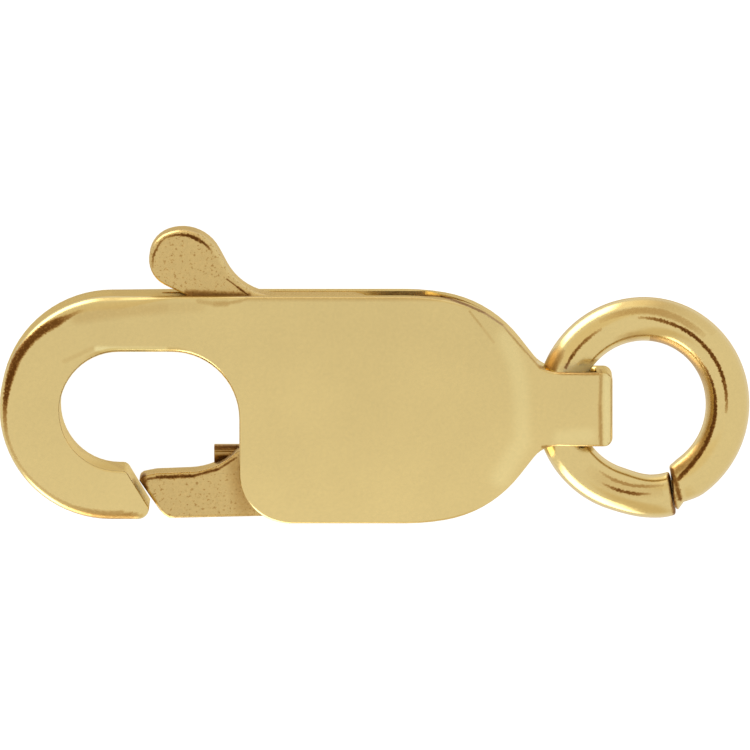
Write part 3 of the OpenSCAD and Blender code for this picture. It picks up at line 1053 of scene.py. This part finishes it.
def gold(name, colour, roughness, grain=1.0, waves=1.0, slope=0.022, marks=None, pits=0.0, dull=(),
         slot=None):
    """Worn yellow gold: painted shade that darkens the tone towards the upper edge, a fine satin grain,
    and marks.

    grain and waves are the shares of the satin grain and the broad clouds, marks holds the arcs'
    centre, the arcs and the lines of tarnish, painted shade and painted reflections, and the painted
    highlights, and slot is half the height of the case's slot, on whose inner walls shade is painted.
    """
    material, graph = new_material(name)
    place = place_of(graph)
    broad = graph.noise(place, 1.6, 2.0)
    fine = graph.noise(place, 0.06, 3.0, 0.65)
    x, y = seen_place(graph, place)
    # Painted shade: the tone darkens by slope for each millimetre towards the upper edge
    tone = 0.995 - y * slope + (broad - 0.5) * (CLOUD_TONE * waves) + (fine - 0.5) * (GRAIN_TONE * grain)
    rough = roughness + (fine - 0.5) * (GRAIN_ROUGH * grain)
    height = fine * (GRAIN_HEIGHT * grain) + graph.noise(place, 1.1, 1.0) * (CLOUD_HEIGHT * waves)
    stain_and_shade = 0
    # The marks darken with tarnish, painted shade and painted reflections, and lighten with painted
    # highlights
    if marks:
        stain_and_shade = draw_marks(graph, place, *marks)
        rough = rough + graph.maths("MAXIMUM", stain_and_shade, 0) * STAIN_AND_SHADE_ROUGH
    if pits:
        pit = graph.step(graph.noise(place, 0.055, 2.0, 0.6), 0.42, 0.3)
        stain_and_shade = pit * pits + stain_and_shade
        height = height - pit * (PIT_DEPTH * pits)
    # Painted shade on the walls far inside the slot, with added roughness
    if slot:
        deep = deep_in_slot(graph, place, slot)
        stain_and_shade = stain_and_shade + deep * SLOT_PAINTED_SHADE
        rough = rough + deep * SLOT_ROUGH
    metal = 1 - near_lines(graph, x, y, (fine - 0.5) * RAGGED, dull)
    shade = graph.node("ShaderNodeCombineXYZ", None,
                       {i: tone * graph.maths("POWER", share, stain_and_shade) for i, share in enumerate(STAIN_AND_SHADE_TINT)})
    base = graph.blend(1.0, colour, shade, "MULTIPLY")
    bump = graph.node("ShaderNodeBump", None, {"Distance": MICROMETRE, "Height": height})
    shader = graph.node("ShaderNodeBsdfPrincipled", None, {
        "Base Color": base, "Metallic": metal, "Roughness": rough, "Normal": bump})
    graph.node("ShaderNodeOutputMaterial", None, {"Surface": shader})
    return material


VIEW_TARGET = Vector((0.002, -0.0206, 1.1))
VIEW_DISTANCE = 400
VIEW_WIDTH = 15
SENSOR = 36


def build_camera():
    data = bpy.data.cameras.new("photo_camera")
    data.sensor_width = SENSOR
    data.lens = SENSOR * VIEW_DISTANCE / VIEW_WIDTH
    data.clip_start, data.clip_end = 0.01, 10
    camera = bpy.data.objects.new("photo_camera", data)
    bpy.context.scene.collection.objects.link(camera)
    back = Vector((0, math.sin(VIEW_TILT), math.cos(VIEW_TILT)))
    camera.location = (VIEW_TARGET + back * VIEW_DISTANCE) * MM
    camera.rotation_euler = (-VIEW_TILT, 0, 0)
    bpy.context.scene.camera = camera


# Each wall or light of the studio: its place round the table and its height, their half widths and
# the softness of its edges, all in degrees, and its colour
CARDS = (
    (102, 52, 42, 27, 10, (0.98, 0.9, 0.76)),  # brown wall, high
    (90, -10, 16, 24, 10, (1.3, 1.22, 1.1)),  # bright strip above
    (120, -12, 20, 19, 5, (4.6, 4.5, 4.3)),  # upper left softbox
    (247, -5, 21, 20, 4, (4.6, 4.5, 4.3)),  # lower left softbox
    (280, 20, 14, 34, 10, (0.86, 0.76, 0.6)),  # front wall
)
SKY = (1.0, 0.985, 0.985)
# What the walls reflect from below, towards the ring and elsewhere
BELOW_RING = (0.84, 0.67, 0.32)
BELOW = (0.72, 0.55, 0.23)
# How far round from the ring's side the first gives way to the other, and from what height the sky
# gives way to them, in degrees
RING_SIDE = (35, 75)
BELOW_FROM = (-54, -76)


def build_world():
    world = bpy.data.worlds.new("studio")
    bpy.context.scene.world = world
    world.use_nodes = True
    graph = Graph(world.node_tree)
    east, north, up = graph.axes(graph.node("ShaderNodeTexCoord"))
    azimuth = graph.maths("ARCTAN2", north, east)
    height = graph.maths("ARCSINE", up)
    below = graph.blend(graph.step(abs(azimuth), *map(math.radians, RING_SIDE)), BELOW_RING, BELOW)
    colour = graph.blend(graph.step(height, *map(math.radians, BELOW_FROM)), SKY, below)
    for *angles, card in CARDS:
        at, high, wide, tall, soft = map(math.radians, angles)
        aside = abs(graph.maths("WRAP", azimuth - at, -math.pi, math.pi))
        mask = graph.step(aside, wide + soft, wide - soft)
        mask *= graph.step(abs(height - high), tall + soft, tall - soft)
        colour = graph.blend(mask, colour, card)
    shader = graph.node("ShaderNodeBackground", None, {"Color": colour})
    graph.node("ShaderNodeOutputWorld", None, {"Surface": shader})


TABLE_GLOW = 0.95
# The table's width and how far it lies under the clasp, in metres
TABLE_WIDTH = 3
TABLE_DROP = 0.000002


def build_table(finish):
    only()
    bpy.ops.mesh.primitive_plane_add(size=TABLE_WIDTH, location=(0, 0, -TABLE_DROP))
    table = bpy.context.object
    table.name = "table"
    material, graph = new_material("pale_table")
    shader = graph.node("ShaderNodeBsdfPrincipled", None, {
        "Base Color": (*finish.table, 1), "Roughness": 0.8,
        "Emission Color": (1, 1, 1, 1), "Emission Strength": TABLE_GLOW})
    graph.node("ShaderNodeOutputMaterial", None, {"Surface": shader})
    table.data.materials.append(material)
    table.visible_glossy = False


class CLASP_OT_case(bpy.types.Operator):
    """Draws the case, cuts its slot and bail, and rounds its edges"""
    bl_idname = "clasp.case"
    bl_label = "Case"

    def execute(self, context):
        sizes, finish = context.scene.clasp_case, context.scene.clasp_finish
        material = gold("case_gold", finish.gold, roughness=0.2,
                        marks=(HOOK_AT, HOOK_PAINTED_REFLECTION_ARCS, CASE_TARNISH_AND_SHADE_LINES, CASE_PAINTED_HIGHLIGHTS), slot=slot_half(sizes))
        build_case(sizes, material)
        return {"FINISHED"}


class CLASP_OT_trigger(bpy.types.Operator):
    """Draws the trigger with its thumb tab and jaw"""
    bl_idname = "clasp.trigger"
    bl_label = "Trigger"

    def execute(self, context):
        finish = context.scene.clasp_finish
        material = gold("trigger_gold", finish.trigger_gold, roughness=0.28, grain=2.2, slope=0,
                        marks=(TAB_AT, TAB_PAINTED_REFLECTION_ARCS, TRIGGER_PAINTED_SHADE_LINES, TRIGGER_PAINTED_HIGHLIGHTS), pits=0.28)
        build_trigger(context.scene.clasp_trigger, material)
        return {"FINISHED"}


class CLASP_OT_spring(bpy.types.Operator):
    """Makes the folded end of the return spring and gives the hidden rivet its finish"""
    bl_idname = "clasp.spring"
    bl_label = "Spring and rivet"

    def execute(self, context):
        finish = context.scene.clasp_finish
        build_spring(gold("spring_metal", finish.spring, roughness=0.3, grain=1.5,
                          marks=(None, (), SPRING_PAINTED_SHADE_LINES, ())))
        rivet = frame["nodes"]["rivet"]
        rivet.data.materials.clear()
        rivet.data.materials.append(gold("rivet_gold", finish.gold, roughness=0.25))
        return {"FINISHED"}


class CLASP_OT_ring(bpy.types.Operator):
    """Spins the jump ring's wire and shapes its sheared ends"""
    bl_idname = "clasp.ring"
    bl_label = "Jump ring"

    def execute(self, context):
        finish = context.scene.clasp_finish
        material = gold("ring_gold", finish.gold, roughness=0.16, waves=0.6, slope=0,
                        marks=(RING_AT, RING_TARNISH_AND_REFLECTION_ARCS, RING_TARNISH_AND_SHADE_LINES, ()), dull=RING_DULL)
        build_ring(context.scene.clasp_ring, material)
        return {"FINISHED"}


class CLASP_OT_stage(bpy.types.Operator):
    """Sets up the pale table, the soft studio light and the camera"""
    bl_idname = "clasp.stage"
    bl_label = "Stage"

    def execute(self, context):
        finish = context.scene.clasp_finish
        build_camera()
        build_world()
        build_table(finish)
        context.scene.view_settings.view_transform = "Standard"
        return {"FINISHED"}


class CLASP_PT_panel(bpy.types.Panel):
    """Lists the clasp's pieces and their sizes"""
    bl_idname = "CLASP_PT_panel"
    bl_label = "Clasp"
    bl_space_type = "VIEW_3D"
    bl_region_type = "UI"
    bl_category = "Clasp"

    def draw(self, context):
        for operator in OPERATORS:
            self.layout.operator(operator.bl_idname)
        for group in GROUPS:
            for name in GROUPS[group].__annotations__:
                self.layout.prop(getattr(context.scene, group), name)


GROUPS = {
    "clasp_case": ClaspCaseSizes,
    "clasp_trigger": ClaspTriggerSizes,
    "clasp_ring": ClaspRingSizes,
    "clasp_finish": ClaspFinish,
}
OPERATORS = (CLASP_OT_case, CLASP_OT_trigger, CLASP_OT_spring, CLASP_OT_ring, CLASP_OT_stage)


def register():
    for kind in (*GROUPS.values(), *OPERATORS, CLASP_PT_panel):
        bpy.utils.register_class(kind)
    for name, kind in GROUPS.items():
        setattr(bpy.types.Scene, name, bpy.props.PointerProperty(type=kind))


def unregister():
    for name in GROUPS:
        delattr(bpy.types.Scene, name)
    for kind in reversed((*GROUPS.values(), *OPERATORS, CLASP_PT_panel)):
        bpy.utils.unregister_class(kind)


def main():
    register()
    bpy.ops.clasp.case()
    bpy.ops.clasp.trigger()
    bpy.ops.clasp.spring()
    bpy.ops.clasp.ring()
    bpy.ops.clasp.stage()


if __name__ == "__main__":
    main()
